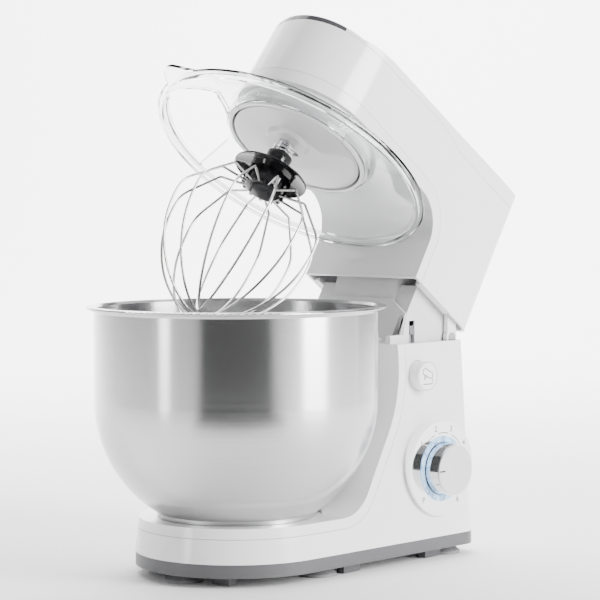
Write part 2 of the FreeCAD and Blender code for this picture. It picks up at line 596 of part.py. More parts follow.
def make_head():
    outer, inner = head_loft("head_outer", "0"), head_loft("head_inner", "wall")
    thin = head_loft("head_thin", "trim_thick")
    belly, belly_skin = above_belly("belly_region", "0"), above_belly("belly_skin", "wall")
    seam, cap_seam = above_seam("head_seam_region"), above_cap_seam("cap_region")

    cover = cut("cover_block", common("cover_zone", outer, above_seam("seam_gap", "reveal")),
                above_cap_seam("cap_gap", "-reveal"))
    shell = cut("cover_shell", cover, inner)
    rails = both_sides("cover_flanges", lambda s: box(
        f"flange_{'left' if s < 0 else 'right'}",
        ("52" if s > 0 else "-57.5", "127", "head_low"), "5.5", "42", "2.5"))
    keep("head_cover", fuse("cover_with_flanges", shell, rails), "head")

    under = cut("under_block", common("under_zone", outer, belly), seam)
    room = common("under_room", inner, belly_skin)
    drum = tube("drum_wall", ("0", "0", "drum_low"), "drum_out", "drum_in", "belly - drum_low + 1")
    mouth = rod("drum_mouth", ("0", "0", "drum_low - 5"), "drum_in", "40")
    lug = wedge("lid_lug", "drum_in + 1", "drum_out + 2", "drum_low - 0.4", "drum_low + 0.9", 18)
    lugs = ring_of("lid_lugs", lug, 3, 30)
    ledge = tube("gear_ledge", ("0", "0", "gear_low + gear_face + 0.6"), "drum_in + 0.5",
                 "ring_teeth / 2 + 6", "3")
    keep("lower_cover", fuse("under_with_drum", cut("under_shell", under, room, mouth), drum, ledge, lugs),
         "head")

    crown = below_crown("crown_region", "0")
    cap_zone = common("cap_zone", outer, cap_seam, crown)
    bevelled = doc.addObject("Part::Chamfer", "cap_bevelled")
    bevelled.Base = cap_zone
    doc.recompute()
    edges = [i for i, edge in enumerate(cap_zone.Shape.Edges, 1)
             if top_edge(edge)]
    bevelled.Edges = [(i, number("cap_bevel"), number("cap_bevel")) for i in edges]
    cap_room = common("cap_room", inner, below_crown("crown_skin", "wall"))
    trim_zone = cut("trim_band", common("trim_block", head_loft("head_wide", "-1"), cap_seam),
                    above_cap_seam("trim_top", "trim_high"), thin)
    nose_box = box("nose_box", ("-80", "-80", "280"), "160", "38.3", "40")
    rear_box = box("rear_box", ("-46", "176", "280"), "92", "30", "40")
    nose, rear = common("nose_band", trim_zone, nose_box), common("rear_band", trim_zone, rear_box)
    keep("top_cap", cut("cap_shell", bevelled, cap_room, nose, rear), "head")
    keep("nose_trim", common("nose_badge", nose, bevelled), "head")
    keep("rear_trim", common("rear_badge", rear, bevelled), "head")

    arms = both_sides("arms", lambda s: slab(
        f"arm_{'left' if s < 0 else 'right'}", [
            ("hinge_y + arm_end", "hinge_z"), ("arm_y + 7", "192"), ("arm_y", "arm_z + 10"),
            ("arm_y - 26", "arm_z + 10"), ("arm_y - 26", "arm_z - 6"),
            ("hinge_y - arm_end", "hinge_z", "arm_end"), ("hinge_y", "hinge_z - arm_end", "arm_end")],
        "YZ", "arm_in" if s > 0 else "-(arm_in + arm_thick)",
        "arm_in + arm_thick" if s > 0 else "-arm_in"))
    tie = box("arm_tie", ("-arm_in - 1", "arm_y - 24", "arm_z + 6"), "2 * arm_in + 2", "20", "4")
    bosses = both_sides("arm_bosses", lambda s: fuse(
        f"arm_boss_pair_{'left' if s < 0 else 'right'}", *[
            rod(f"arm_boss_{'left' if s < 0 else 'right'}_{i}",
                ("arm_in + arm_thick" if s > 0 else "wall - head_half", y, z), "4",
                "head_half - wall - arm_in - arm_thick", "X")
            for i, (y, z) in enumerate((("151", "226"), ("166", "212")))]))
    pin_bore = rod("arm_bore", ("-70", "hinge_y", "hinge_z"), "pin", "140", "X")
    keep("hinge_arms", cut("arms_drilled", fuse("arms_with_tie", arms, tie, bosses), pin_bore), "head")
    keep("hinge_pin", rod("pin_rod", ("-(arm_in + 4.6)", "hinge_y", "hinge_z"), "pin",
                          "2 * arm_in + 9.2", "X"), "head")


def top_edge(edge):
    """True for an edge of the crown's rim, and not for the joint between two top planes."""
    middle = edge.valueAt((edge.FirstParameter + edge.LastParameter) / 2)
    along_x = edge.BoundBox.YLength < 0.01 and middle.y < 175
    upright = edge.BoundBox.ZLength > 4 and edge.BoundBox.YLength < 3
    seam = number("cap_front") + 2 + max(0, 0.146 * (-12 - middle.y))
    return not along_x and not upright and middle.z > max(seam, number("cap_rear") + 2)


# ------------------------------------------------------------------ drive
def gear_outline(teeth, root, tip, root_half, tip_half, offset):
    """Corner points of straight-flanked teeth; offset turns the first tooth from +X."""
    points = []
    for i in range(teeth):
        middle = offset + 2 * math.pi * i / teeth
        for radius, half in ((root, -root_half), (tip, -tip_half), (tip, tip_half),
                             (root, root_half)):
            angle = middle + half / radius
            points.append(V(radius * math.cos(angle), radius * math.sin(angle), 0))
    return points


def gear_prism(points, centre, low, height):
    wire = Part.makePolygon(points + points[:1])
    solid = Part.Face(wire).extrude(V(0, 0, height))
    solid.translate(V(centre[0], centre[1], low))
    return solid


def make_drive():
    pitch_angle = 2 * math.pi / number("ring_teeth")
    reach = -math.pi / 2 + pitch_angle
    orbit = number("orbit")
    tool = (orbit * math.cos(reach), orbit * math.sin(reach))
    low, face, module = number("gear_low"), number("gear_face"), number("gear_module")
    thick = math.pi * module / 4

    ring_pitch, pinion_pitch = module * number("ring_teeth") / 2, module * number("pinion_teeth") / 2
    spaces = gear_outline(int(number("ring_teeth")), ring_pitch - 0.75 * module,
                          ring_pitch + 1.05 * module, thick + 0.36, thick - 0.22, reach)
    blank = Part.makeCylinder(ring_pitch + 5, face, V(0, 0, low))
    blank = blank.fuse(Part.makeCylinder(ring_pitch + 9, 1.6, V(0, 0, low + face - 1)))
    ring = doc.addObject("Part::Feature", "ring_gear_solid")
    ring.Shape = blank.cut(gear_prism(spaces, (0, 0), low - 1, face + 3))
    keep("ring_gear", ring, "head")

    teeth = gear_outline(int(number("pinion_teeth")), pinion_pitch - 1.05 * module,
                         pinion_pitch + 0.72 * module, thick + 0.02, thick - 0.5, reach)
    pinion_solid = gear_prism(teeth, tool, low + 0.5, face - 1)
    bore = Part.makeCylinder(number("tool_shaft"), face + 4, V(tool[0], tool[1], low - 2))
    pinion = doc.addObject("Part::Feature", "pinion_solid")
    pinion.Shape = pinion_solid.cut(bore)
    keep("planet_pinion", pinion, "head")

    tx, ty = f"{tool[0]:.5f}", f"{tool[1]:.5f}"
    pin = rod("pin_across", (f"{tx} - 8.5", ty, "197.5"), "1.4", "17", "X")
    steps = fuse("tool_shaft_steps", rod("tool_rod", (tx, ty, "185"), "tool_shaft", "50"),
                 tube("tool_collar", (tx, ty, "211.6"), "6.4", "tool_shaft - 0.5", "1.4"))
    keep("tool_shaft", cut("tool_shaft_drilled", steps, pin), "head")
    keep("cross_pin", pin, "head")

    plate = lathe("disc_turned", [
        ("0", "disc_low - 2.2"), ("24", "disc_low - 2.2"), ("disc - 3", "disc_low"),
        ("disc", "disc_low + 0.6"), ("disc", "disc_high"), ("disc - 2.5", "disc_high"),
        ("disc - 3.5", "disc_low + 2.6"), ("26", "disc_low + 0.6"), ("22", "disc_low + 4.2"),
        ("0", "disc_low + 4.2")])
    boss = cone("disc_boss", (tx, ty, "213.3"), "16.2", "21", "6")
    bush_hole = rod("disc_bush_hole", (tx, ty, "200"), "6.5", "40")
    shaft_hole = rod("disc_shaft_hole", ("0", "0", "200"), "input_shaft", "40")
    keep("planet_carrier", cut("disc_drilled", fuse("disc_solid", plate, boss), bush_hole,
                               shaft_hole), "head")
    keep("carrier_bush", tube("bush", (tx, ty, "213.3"), "6.5", "tool_shaft + running",
                              "disc_low + 4.2 - 213.3"), "head")
    keep("input_shaft", rod("input_rod", ("0", "0", "disc_low - 1"), "input_shaft",
                            "belt_high + 2 - disc_low"), "head")
    rim = tube("pulley_rim", ("0", "0", "belt_low - 0.4"), "pulley", "pulley - 3",
               "belt_high - belt_low + 0.8")
    web = tube("pulley_web", ("0", "0", "belt_low + 1"), "pulley - 2", "input_shaft", "2.4")
    hub = tube("pulley_hub", ("0", "0", "belt_low - 0.4"), "9", "input_shaft",
               "belt_high - belt_low + 0.8")
    holes = [rod(f"pulley_hole_{i}", (f"{21 * math.cos(i * math.pi / 3):.4f}",
                                      f"{21 * math.sin(i * math.pi / 3):.4f}", "belt_low - 2"),
                 "6", "12") for i in range(6)]
    keep("large_pulley", cut("pulley_pierced", fuse("pulley_solid", rim, web, hub), *holes), "head")

    upper = tube("upper_race", ("0", "0", "plate_low - 6"), "9.5", "input_shaft + running", "6")
    lower = tube("lower_race", ("0", "0", "gear_low + gear_face + 4.2"), "9.5",
                 "input_shaft + running", "6")
    keep("shaft_bearings", fuse("races", upper, lower), "head")

    floor_low = "gear_low + gear_face + 3.6"
    floor = tube("gear_floor", ("0", "0", floor_low), "drum_in - 0.4", "input_shaft + 1.6", "2.4")
    hub_wall = tube("gear_hub", ("0", "0", floor_low), "12", "9.5", "7")
    posts = [rod(f"frame_post_{i}", (f"{s * 38}", f"{y}", floor_low), "3.5",
                 f"plate_low - ({floor_low})")
             for i, (s, y) in enumerate(((-1, -20), (1, -20), (-1, 22), (1, 22)))]
    low_plate = fuse("gear_floor_solid", floor, hub_wall, *posts)
    race_room = rod("gear_frame_bore", ("0", "0", "gear_low + gear_face + 4.2"), "9.5", "20")
    gear_frame = cut("gear_frame_bored", low_plate, race_room)

    outline_steps = [("-44", "0", "44"), ("0", "-44", "44"), ("44", "0"), ("44", "motor_y + 22"),
                     ("30", "motor_y + 31"), ("-30", "motor_y + 31"), ("-44", "motor_y + 22")]
    top_plate = slab("plate_blank", outline_steps, "XY", "plate_low", "plate_high")
    top_boss = tube("plate_boss", ("0", "0", "plate_low - 6"), "12", "9.5", "6")
    plate_bore = rod("plate_bore", ("0", "0", "plate_low - 8"), "input_shaft + 1", "14")
    motor_bore = rod("plate_motor_bore", ("0", "motor_y", "plate_low - 2"), "8", "8")
    plate_bored = cut("plate_bored", fuse("plate_solid", top_plate, top_boss), plate_bore,
                      motor_bore)
    heads, shanks = [], []
    for i, (x, y, low) in enumerate(PLATE_SCREWS):
        heads.append(rod(f"plate_screw_head_{i}", (x, y, "plate_high"), "screw", "1.6"))
        shanks.append(rod(f"plate_screw_shank_{i}", (x, y, low), "screw / 2",
                          f"plate_high - ({low})"))
    threads = fuse("plate_screw_shanks", *shanks)
    keep("plate_screws", fuse("plate_screw_set", *heads, threads), "head")
    keep("motor_plate", cut("plate_drilled", plate_bored, threads), "head")
    keep("gear_frame", cut("gear_frame_drilled", gear_frame, threads), "head")

    can = tube("can_wall", ("0", "motor_y", "can_low"), "can_out", "can_out - 1.5",
               "can_high - can_low - 1.5")
    lid = tube("can_lid", ("0", "motor_y", "can_high - 1.5"), "can_out", "7", "1.5")
    end = tube("can_end", ("0", "motor_y", "can_low"), "can_out - 1", "5", "1.5")
    keep("motor_can", cut("can_drilled", fuse("can", can, lid, end), threads), "head")
    magnet = tube("magnet_ring", ("0", "motor_y", "can_low + 4"), "can_out - 1.5", "rotor + 0.8",
                  "can_high - can_low - 8")
    gap_box = box("magnet_gap", ("-6", "motor_y - 40", "can_low"), "12", "80", "40")
    keep("magnets", cut("magnet_pair", magnet, gap_box), "head")
    keep("motor_bearings", fuse(
        "motor_races",
        tube("motor_race_low", ("0", "motor_y", "can_low"), "5", "motor_shaft + running", "3.5"),
        tube("motor_race_high", ("0", "motor_y", "can_high - 2.5"), "7", "motor_shaft + running",
             "4")), "head")
    core = tube("rotor_core", ("0", "motor_y", "can_low + 6"), "rotor", "motor_shaft", "13")
    slots = [rod(f"rotor_slot_{i}", (f"{16 * math.cos(i * math.pi / 4):.4f}",
                                     f"motor_y + {16 * math.sin(i * math.pi / 4):.4f}",
                                     "can_low"), "2.4", "30") for i in range(8)]
    keep("rotor_core", cut("rotor_slotted", core, *slots), "head")
    keep("rotor_winding", fuse(
        "windings",
        tube("winding_low", ("0", "motor_y", "can_low + 4.6"), "15", "8", "1.4"),
        tube("winding_high", ("0", "motor_y", "can_low + 19"), "15", "8", "2.4")), "head")
    keep("commutator", tube("copper_ring", ("0", "motor_y", "can_low + 19"), "6.5", "motor_shaft",
                            "4.6"), "head")
    brushes = both_sides("brush_pair", lambda s: box(
        f"brush_{'left' if s < 0 else 'right'}",
        ("6.8" if s > 0 else "-12.8", "motor_y - 2", "can_low + 21.7"), "6", "4", "3"))
    keep("brushes", brushes, "head")
    keep("motor_shaft", rod("motor_rod", ("0", "motor_y", "can_low - 1"), "motor_shaft",
                            "belt_high - can_low + 1.5"), "head")
    keep("motor_pulley", tube("small_pulley", ("0", "motor_y", "belt_low - 0.4"), "motor_pulley",
                              "motor_shaft", "belt_high - belt_low + 0.8"), "head")
    keep("drive_belt", make_belt(), "head")


PLATE_SCREWS = [("-38", "-20", "plate_low - 8"), ("38", "-20", "plate_low - 8"),
                ("-38", "22", "plate_low - 8"), ("38", "22", "plate_low - 8"),
                ("-19", "motor_y", "can_high - 1.5"), ("19", "motor_y", "can_high - 1.5")]


def make_belt():
    """Flat belt wrapped round both pulleys, a hair clear of them."""
    big = number("pulley") + number("belt_gap")
    small = number("motor_pulley") + number("belt_gap")
    span, thick = number("motor_y"), number("belt_thick")
    lean = math.asin((big - small) / span)

    def loop(grow):
        r1, r2 = big + grow, small + grow
        a = V(r1 * math.cos(lean), r1 * math.sin(lean), 0)
        b = V(r2 * math.cos(lean), span + r2 * math.sin(lean), 0)
        c, d = V(-b.x, b.y, 0), V(-a.x, a.y, 0)
        edges = [Part.makeLine(a, b), Part.Arc(b, V(0, span + r2, 0), c).toShape(),
                 Part.makeLine(c, d), Part.Arc(d, V(0, -r1, 0), a).toShape()]
        return Part.Face(Part.Wire(edges))

    band = loop(thick).cut(loop(0)).extrude(V(0, 0, number("belt_high") - number("belt_low")))
    band.translate(V(0, 0, number("belt_low")))
    belt = doc.addObject("Part::Feature", "belt_band")
    belt.Shape = band
    return belt


# ------------------------------------------------------------------ whisk
def tool_place():
    angle = -math.pi / 2 + 2 * math.pi / number("ring_teeth")
    return V(number("orbit") * math.cos(angle), number("orbit") * math.sin(angle), 0)


def make_whisk():
    hub = lathe("hub_turned", [
        ("tool_shaft + running", "hub_top"), ("tool_shaft + running", "201"), ("9.2", "201"),
        ("9.2", "192.7"), ("tool_shaft + running", "192.7"), ("tool_shaft + running", "181.4"),
        ("0", "181.4"), ("0", "lower_hub_z"), ("lower_hub - 5", "lower_hub_z", "5"),
        ("lower_hub - 1", "lower_hub_z + 4"), ("lower_hub - 1", "flange_z - 4"),
        ("lower_hub + 1", "flange_z - 0.4", "-40"), ("flange - 0.6", "flange_z - 3.6", "0.7"),
        ("flange - 0.3", "flange_z - 2.4", "44"), ("hub + 4", "flange_z + 2.6", "-5"),
        ("hub", "flange_z + 6.5"), ("hub", "hub_top - 1"), ("hub - 1", "hub_top")])
    sockets = []
    for i in range(12):
        angle = math.pi * i / 6
        drill = doc.addObject("Part::Cylinder", f"wire_socket_{i}")
        drill.setExpression("Radius", cells("wire + 0.08"))
        drill.setExpression("Height", "8")
        drill.Placement = FreeCAD.Placement(
            V(10.2 * math.cos(angle), 10.2 * math.sin(angle), number("wire_top")),
            FreeCAD.Rotation(V(0, 0, 1), V(math.cos(angle), math.sin(angle), 0)))
        sockets.append(drill)
    rib = box("hub_rib", ("lower_hub - 4", "-1.3", "lower_hub_z + 1.5"), "4.8", "2.6", "14")
    ribs = ring_of("hub_ribs", rib, 12, 15)
    key = box("hub_key", ("-1.8", "-8.9", "200"), "3.6", "17.8", "5")
    hub_cut = cut("hub_drilled", fuse("hub_ribbed", hub, ribs), key, *sockets)
    moved = doc.addObject("Part::Compound", "hub_placed")
    moved.Links = [hub_cut]
    moved.Placement.Base = tool_place()
    keep("whisk_hub", moved, "whisk")

    loops = []
    for i in range(6):
        loops.append(whisk_loop(math.pi * i / 6, number("wire_tip") + i * number("wire_step")))
    wires = doc.addObject("Part::Feature", "wire_loops")
    wires.Shape = Part.makeCompound(loops)
    wires.Placement.Base = tool_place()
    keep("whisk_wires", wires, "whisk")
    spring("whisk_spring", "7.4", "0.9", "2.7",
           (f"{tool_place().x:.5f}", f"{tool_place().y:.5f}", "hub_top + 0.3"), "8.2", "Z", "whisk")


def whisk_loop(angle, tip):
    """One wire: out of the hub, round a tight shoulder, straight down, a long bow and up again."""
    top, out = number("wire_top"), number("wire_out")
    bow, bow_z = number("wire_belly"), number("wire_belly_z")
    deep = bow_z - tip
    lean = V(0.66, -0.75, 0)
    half = [(10.4, top), (14, top), (22, top), (out - 4, top), (out - 1.2, top - 0.15),
            (out, top - 0.7), (out + 0.9, top - 1.7)]
    half += [(out + 0.9 + lean.x * d, top - 1.7 + lean.y * d) for d in (3, 8, 13, 18, 22)]
    half += [(bow - 1.9, bow_z + 11.6), (bow - 0.2, bow_z + 3.5), (bow - 0.4, bow_z - 7)]
    half += [(bow - 3.2, bow_z - 0.3 * deep), (bow - 10.2, bow_z - 0.52 * deep)]
    half += [(bow - 21.5, bow_z - 0.73 * deep), (bow - 37, bow_z - 0.905 * deep)]
    half += [(9, tip + 1.3)]
    line = half + [(0, tip)] + [(-r, z) for r, z in reversed(half)]
    points = [V(r * math.cos(angle), r * math.sin(angle), z) for r, z in line]
    curve = Part.BSplineCurve()
    curve.interpolate(points)
    path = Part.Wire([curve.toShape()])
    along = curve.tangent(curve.FirstParameter)[0]
    section = Part.Wire([Part.Circle(points[0], along, number("wire")).toShape()])
    return path.makePipeShell([section], True, False)


# ------------------------------------------------------------------ lid
def make_lid():
    def turned(name, lift):
        profile = [
            ("lid_in", "lid_collar"), ("lid_in", "219.2"), ("lid_in + 2", "219.2"),
            ("lid_in + 2", "223.4"), ("lid_out - 8.4", "lid_rim - 1.6"),
            ("lid_out - 5.6", "lid_rim - 2.8"), ("lid_out - 5", "lid_low"),
            ("lid_out - 3.2", "lid_low"), ("lid_out - 3.2", "lid_rim - 3"),
            ("lid_out", "lid_rim - 3"), ("lid_out", "lid_rim - 1"), ("lid_out - 1.4", "lid_rim"),
            ("lid_out - 7.6", "lid_rim + 0.8"), ("lid_in + 2.6", "225.6"),
            ("lid_in + 2", "lid_collar")]
        return lathe(name, [(radius, f"{height} + {lift}") for radius, height in profile])

    shell = turned("lid_turned", 0)
    window = slab("lid_window", [
        ("-104.4", "3.6", "104.5"), ("-69.9", "-77.6", "24"), ("-30.5", "-80", "8"), ("-31", "-67"),
        ("-46.5", "-39.5", "-61"), ("-58", "-18.9"), ("-69", "-10")], "XY", "195", "240")
    around = slab("lid_window_edge", [
        ("-104.6", "6.2", "104.8"), ("-71.2", "-79", "25.8"), ("-29.6", "-82", "10"),
        ("-28.8", "-66.4"), ("-44.8", "-38.4", "-59"), ("-56.6", "-17.4"), ("-68.2", "-8")],
        "XY", "195", "240")
    lip = common("lid_lip", turned("lid_raised", 1.4), cut("lid_lip_zone", around, window))
    middle = math.radians(-106)
    side = V(-math.sin(middle), math.cos(middle), 0)
    away = V(math.cos(middle), math.sin(middle), 0)
    corners = [away * 106 - side * 25, away * 119.5 - side * 11, away * 120.5 + side * 5,
               away * 106 + side * 23]
    lobe = [(f"{p.x:.4f}", f"{p.y:.4f}") for p in corners]
    lobe[1] += ("14",)
    tab = slab("lid_tab", lobe, "XY", "lid_rim - 2.4", "lid_rim")
    keep("splash_lid", fuse("lid_with_tab", cut("lid_opened", shell, window), lip, tab), "lid")


# ------------------------------------------------------------------ assembly
make_base()
make_bowl()
make_neck()
make_controls()
make_head()
make_drive()
make_whisk()
make_lid()

HEAD_GROUPS = ("head", "whisk", "lid")
hinge = V(0, number("hinge_y"), number("hinge_z"))
shift = FreeCAD.Placement(V(0, -number("frame_y"), 0), FreeCAD.Rotation())
raised = shift * FreeCAD.Placement(V(0, 0, 0), FreeCAD.Rotation(V(1, 0, 0), -number("tilt")), hinge)

doc.recompute()
bad = [obj.Name for obj in doc.Objects if "Invalid" in obj.State or "Error" in obj.State]
if bad:
    raise SystemExit("failed objects: " + ", ".join(bad))

os.makedirs("parts", exist_ok=True)
faults = []
for node, (obj, group) in PARTS.items():
    placed = doc.addObject("Part::Compound", node + "_part")
    placed.Links = [obj]
    placed.Label = node
    placed.Placement = raised if group in HEAD_GROUPS else shift
    placed.recompute()
    shape = placed.Shape
    if shape.isNull() or not shape.isValid() or not shape.Solids:
        faults.append(node)
        continue
    shape.exportStep(f"parts/{node}.step")
    box_ = shape.BoundBox
    print(f"{node:18} solids {len(shape.Solids):2} volume {shape.Volume / 1000:8.2f} cm3 "
          f"z {box_.ZMin:7.1f} {box_.ZMax:7.1f}")
if faults:
    raise SystemExit("null or invalid shapes: " + ", ".join(faults))
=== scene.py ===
import json
import math

import bmesh
import bpy
from mathutils import Matrix, Vector


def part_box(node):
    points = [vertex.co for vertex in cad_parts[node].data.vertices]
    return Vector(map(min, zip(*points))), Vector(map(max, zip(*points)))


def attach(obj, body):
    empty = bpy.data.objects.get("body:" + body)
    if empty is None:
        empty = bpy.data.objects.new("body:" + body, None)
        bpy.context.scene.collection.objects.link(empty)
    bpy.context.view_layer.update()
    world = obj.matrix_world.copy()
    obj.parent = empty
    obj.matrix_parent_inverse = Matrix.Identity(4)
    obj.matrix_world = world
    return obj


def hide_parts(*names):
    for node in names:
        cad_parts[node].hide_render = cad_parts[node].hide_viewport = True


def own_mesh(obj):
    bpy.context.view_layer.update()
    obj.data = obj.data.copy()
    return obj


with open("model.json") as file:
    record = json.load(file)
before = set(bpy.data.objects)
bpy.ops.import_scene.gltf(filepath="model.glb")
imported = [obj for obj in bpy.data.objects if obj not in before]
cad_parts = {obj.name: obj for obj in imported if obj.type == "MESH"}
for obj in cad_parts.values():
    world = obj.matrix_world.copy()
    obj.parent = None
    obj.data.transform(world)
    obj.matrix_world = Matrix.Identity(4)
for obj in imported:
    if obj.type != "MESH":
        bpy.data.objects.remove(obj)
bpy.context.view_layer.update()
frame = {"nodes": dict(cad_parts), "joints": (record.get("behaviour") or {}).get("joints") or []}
NODES = frame["nodes"]
JOINTS = {j["name"]: j for j in frame["joints"]}


# ------------------------------------------------------------------ places
BOWL_AXIS = Vector(JOINTS["bowl_twist"]["pos_m"])
KNOB_AXIS = Vector(JOINTS["speed_dial"]["pos_m"])
TOOL_AXIS = Vector(JOINTS["tool_spin"]["axis"]).normalized()


# ------------------------------------------------------------------ camera
CAMERA_AT = (1.1428, -1.1938, 0.28365)
CAMERA_FORWARD = Vector((-0.6929, 0.7194, -0.0493)).normalized()
CAMERA_ROLL = math.radians(-0.132)
LENS_MM = 127.9
SENSOR_MM = 36.0
CLIP_NEAR, CLIP_FAR = 0.05, 20


def make_camera():
    """A long lens in front of the machine on the knob's side, looking slightly down."""
    data = bpy.data.cameras.new("Camera")
    data.lens, data.sensor_width = LENS_MM, SENSOR_MM
    data.clip_start, data.clip_end = CLIP_NEAR, CLIP_FAR
    cam = bpy.data.objects.new("Camera", data)
    bpy.context.scene.collection.objects.link(cam)
    right = CAMERA_FORWARD.cross(Vector((0, 0, 1))).normalized()
    up = right.cross(CAMERA_FORWARD)
    across = right * math.cos(CAMERA_ROLL) + up * math.sin(CAMERA_ROLL)
    upward = up * math.cos(CAMERA_ROLL) - right * math.sin(CAMERA_ROLL)
    turn = Matrix((across, upward, -CAMERA_FORWARD)).transposed().to_4x4()
    cam.matrix_world = Matrix.Translation(CAMERA_AT) @ turn
    bpy.context.scene.camera = cam


# ------------------------------------------------------------------ materials
NOISE_LOW, NOISE_HIGH = 0.3, 0.7    # most of a noise texture's values lie between these


class Nodes:
    """A material under construction: one principled shader and what feeds it."""

    def __init__(self, name, colour, rough, metal=0.0, **sockets):
        self.material = bpy.data.materials.new(name)
        self.material.use_nodes = True
        self.tree = self.material.node_tree
        self.shader = self.tree.nodes["Principled BSDF"]
        self.put("Base Color", (*colour, 1.0))
        self.put("Roughness", rough)
        self.put("Metallic", metal)
        for key, value in sockets.items():
            self.put(key.replace("_", " "), value)

    def put(self, socket, value):
        self.shader.inputs[socket].default_value = value

    def add(self, kind, **settings):
        node = self.tree.nodes.new(kind)
        for key, value in settings.items():
            if key in node.inputs:
                node.inputs[key].default_value = value
            else:
                setattr(node, key, value)
        return node

    def link(self, a, out, b, into):
        self.tree.links.new(a.outputs[out], b.inputs[into])

    def place(self, scale=(1, 1, 1)):
        """Object coordinates, in metres times scale."""
        coords = self.add("ShaderNodeTexCoord")
        mapping = self.add("ShaderNodeMapping")
        mapping.inputs["Scale"].default_value = scale
        self.link(coords, "Object", mapping, "Vector")
        return mapping

    def noise(self, mapping, scale, detail=3.0, rough=0.5):
        node = self.add("ShaderNodeTexNoise")
        node.inputs["Scale"].default_value = scale
        node.inputs["Detail"].default_value = detail
        node.inputs["Roughness"].default_value = rough
        self.link(mapping, "Vector", node, "Vector")
        return node

    def spread(self, source, out, low, high, from_low=NOISE_LOW, from_high=NOISE_HIGH):
        node = self.add("ShaderNodeMapRange")
        node.inputs["From Min"].default_value = from_low
        node.inputs["From Max"].default_value = from_high
        node.inputs["To Min"].default_value = low
        node.inputs["To Max"].default_value = high
        self.link(source, out, node, "Value")
        return node

    def roughen(self, source, low, high):
        self.link(self.spread(source, "Fac", low, high), "Result", self.shader, "Roughness")

    def tint(self, source, dark, light):
        ramp = self.add("ShaderNodeValToRGB")
        ends = zip(ramp.color_ramp.elements, (NOISE_LOW, NOISE_HIGH), (dark, light))
        for element, position, colour in ends:
            element.position = position
            element.color = (*colour, 1)
        self.link(source, "Fac", ramp, "Fac")
        self.link(ramp, "Color", self.shader, "Base Color")

    def compute(self, operation, source, out, value):
        """A Math node that works on the source and a fixed value."""
        node = self.add("ShaderNodeMath", operation=operation)
        node.inputs[1].default_value = value
        self.link(source, out, node, 0)
        return node

    def bump(self, source, strength, distance, out="Fac"):
        node = self.add("ShaderNodeBump")
        node.inputs["Strength"].default_value = strength
        node.inputs["Distance"].default_value = distance
        self.link(source, out, node, "Height")
        self.link(node, "Normal", self.shader, "Normal")


def shell_plastic(name, colour, rough=0.16, coat=0.35):
    """Glossy moulded plastic with fine orange peel and a slightly uneven polish."""
    m = Nodes(name, colour, rough, Coat_Weight=coat, Coat_Roughness=0.06)
    at = m.place()
    broad = m.noise(at, scale=38, detail=2)
    fine = m.noise(at, scale=900, detail=4, rough=0.6)
    m.roughen(broad, rough * 0.85, rough * 1.25)
    darker = [max(c - 0.012, c * 0.8) for c in colour]
    m.tint(broad, darker, colour)
    m.bump(fine, strength=0.05, distance=0.0002)
    return m.material


def satin_plastic(name, colour, rough=0.45, grain=1400, strength=0.25):
    """Spark-eroded moulded plastic with a fine even grain."""
    m = Nodes(name, colour, rough)
    at = m.place()
    fine = m.noise(at, scale=grain, detail=5, rough=0.65)
    broad = m.noise(at, scale=60, detail=3)
    m.roughen(broad, rough * 0.88, rough * 1.15)
    m.tint(broad, [c * 0.94 for c in colour], colour)
    m.bump(fine, strength, distance=0.0002)
    return m.material


def rubber(name, colour):
    """Matt rubber with a coarse skin."""
    m = Nodes(name, colour, 0.7)
    at = m.place()
    fine = m.noise(at, scale=1800, detail=5, rough=0.7)
    broad = m.noise(at, scale=90, detail=4)
    m.roughen(broad, 0.6, 0.8)
    m.tint(broad, [c * 0.86 for c in colour], [min(c * 1.08, 1) for c in colour])
    m.bump(fine, strength=0.35, distance=0.0003)
    return m.material


def round_coords(m, centre, axis_scale, around_scale):
    """Cylindrical coordinates about a vertical axis: (turn, 0, height), each scaled."""
    coords = m.add("ShaderNodeTexCoord")
    split = m.add("ShaderNodeSeparateXYZ")
    m.link(coords, "Object", split, "Vector")
    dx = m.compute("SUBTRACT", split, "X", centre.x)
    dy = m.compute("SUBTRACT", split, "Y", centre.y)
    turn = m.add("ShaderNodeMath", operation="ARCTAN2")
    m.link(dy, 0, turn, 0)
    m.link(dx, 0, turn, 1)
    around = m.compute("MULTIPLY", turn, 0, around_scale)
    up = m.compute("MULTIPLY", split, "Z", axis_scale)
    join = m.add("ShaderNodeCombineXYZ")
    m.link(around, 0, join, "X")
    m.link(up, 0, join, "Z")
    return join


def brushed_bowl(name):
    """Stainless steel brushed round the bowl in long fine lines."""
    m = Nodes(name, (0.6, 0.6, 0.605), 0.22, 1.0, Anisotropic=0.8,
              Anisotropic_Rotation=0.25)
    fine_lines = round_coords(m, BOWL_AXIS, axis_scale=7000, around_scale=0.8)
    wide_lines = round_coords(m, BOWL_AXIS, axis_scale=1500, around_scale=0.5)
    lines = m.noise(fine_lines, scale=1.0, detail=3, rough=0.6)
    wide = m.noise(wide_lines, scale=1.0, detail=2)
    m.roughen(wide, 0.19, 0.24)
    m.tint(lines, (0.54, 0.54, 0.545), (0.66, 0.66, 0.665))
    m.bump(lines, strength=0.03, distance=0.00005)
    tangent = m.add("ShaderNodeTangent", direction_type="RADIAL", axis="Z")
    m.link(tangent, "Tangent", m.shader, "Tangent")
    return m.material


def worked_metal(name, colour, rough, scale=(400, 400, 30), strength=0.08):
    """Turned or rolled metal with directional tool marks."""
    m = Nodes(name, colour, rough, 1.0)
    marks = m.noise(m.place(scale), scale=3.0, detail=4, rough=0.7)
    broad = m.noise(m.place(), scale=55, detail=3)
    m.roughen(broad, rough * 0.75, rough * 1.35)
    m.tint(marks, [c * 0.9 for c in colour], colour)
    m.bump(marks, strength, distance=0.0001)
    return m.material


